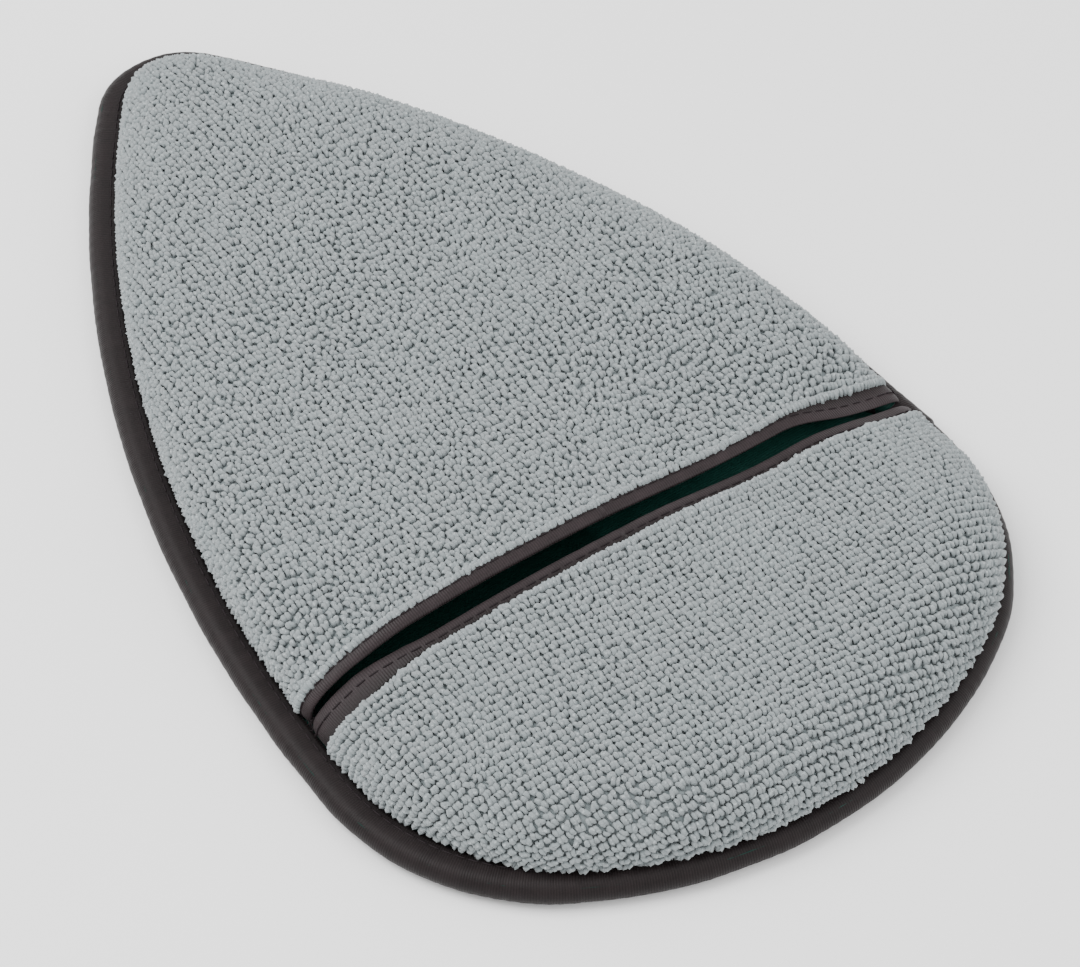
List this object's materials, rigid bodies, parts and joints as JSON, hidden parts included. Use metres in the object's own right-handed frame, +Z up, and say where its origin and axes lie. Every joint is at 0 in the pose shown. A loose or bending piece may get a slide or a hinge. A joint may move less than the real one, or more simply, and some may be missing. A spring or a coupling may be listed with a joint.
{
  "type": "wash mitt",
  "caption": "Teardrop car wash mitt of looped pile cloth, with a padded sole, dark edge tape and a hand slot across the top that opens into a toe pocket and a heel pocket.",
  "frame": {"origin": "middle of the length and width, on the flat underside of the mitt", "axes": "+Y from the round heel to the pointed tip, +X across the mitt, +Z up out of the top panels"},
  "size_m": [0.157, 0.254, 0.0205],
  "materials": {
    "pile_cloth": "looped pile",
    "binding_tape": "satin",
    "lining": "satin",
    "foam": "open-cell foam",
    "thread": "spun thread"
  },
  "bodies": {
    "pad": {"sole_pile_cloth": "pile_cloth", "foam_core": "foam", "pad_lining": "lining", "edge_binding": "binding_tape", "edge_needle_thread": "thread", "edge_bobbin_thread": "thread", "slot_end_overlock": "thread"},
    "toe_panel": {"toe_pile_cloth": "pile_cloth", "toe_panel_lining": "lining", "toe_lip_binding": "binding_tape", "toe_lip_needle_thread": "thread", "toe_lip_bobbin_thread": "thread"},
    "heel_panel": {"heel_pile_cloth": "pile_cloth", "heel_panel_lining": "lining", "heel_lip_binding": "binding_tape", "heel_lip_needle_thread": "thread", "heel_lip_bobbin_thread": "thread"}
  },
  "joints": [
    {"name": "toe_panel_lift", "type": "hinge", "parent": "pad", "child": "toe_panel", "pos_m": [0, 0.1201, 0.0059], "axis": [-1, 0, 0], "range_deg": [0, 9], "stiffness_Nm_per_rad": 0.05},
    {"name": "heel_panel_lift", "type": "hinge", "parent": "pad", "child": "heel_panel", "pos_m": [0, -0.1201, 0.0059], "axis": [1, 0, 0], "range_deg": [0, 9], "stiffness_Nm_per_rad": 0.02}
  ]
}
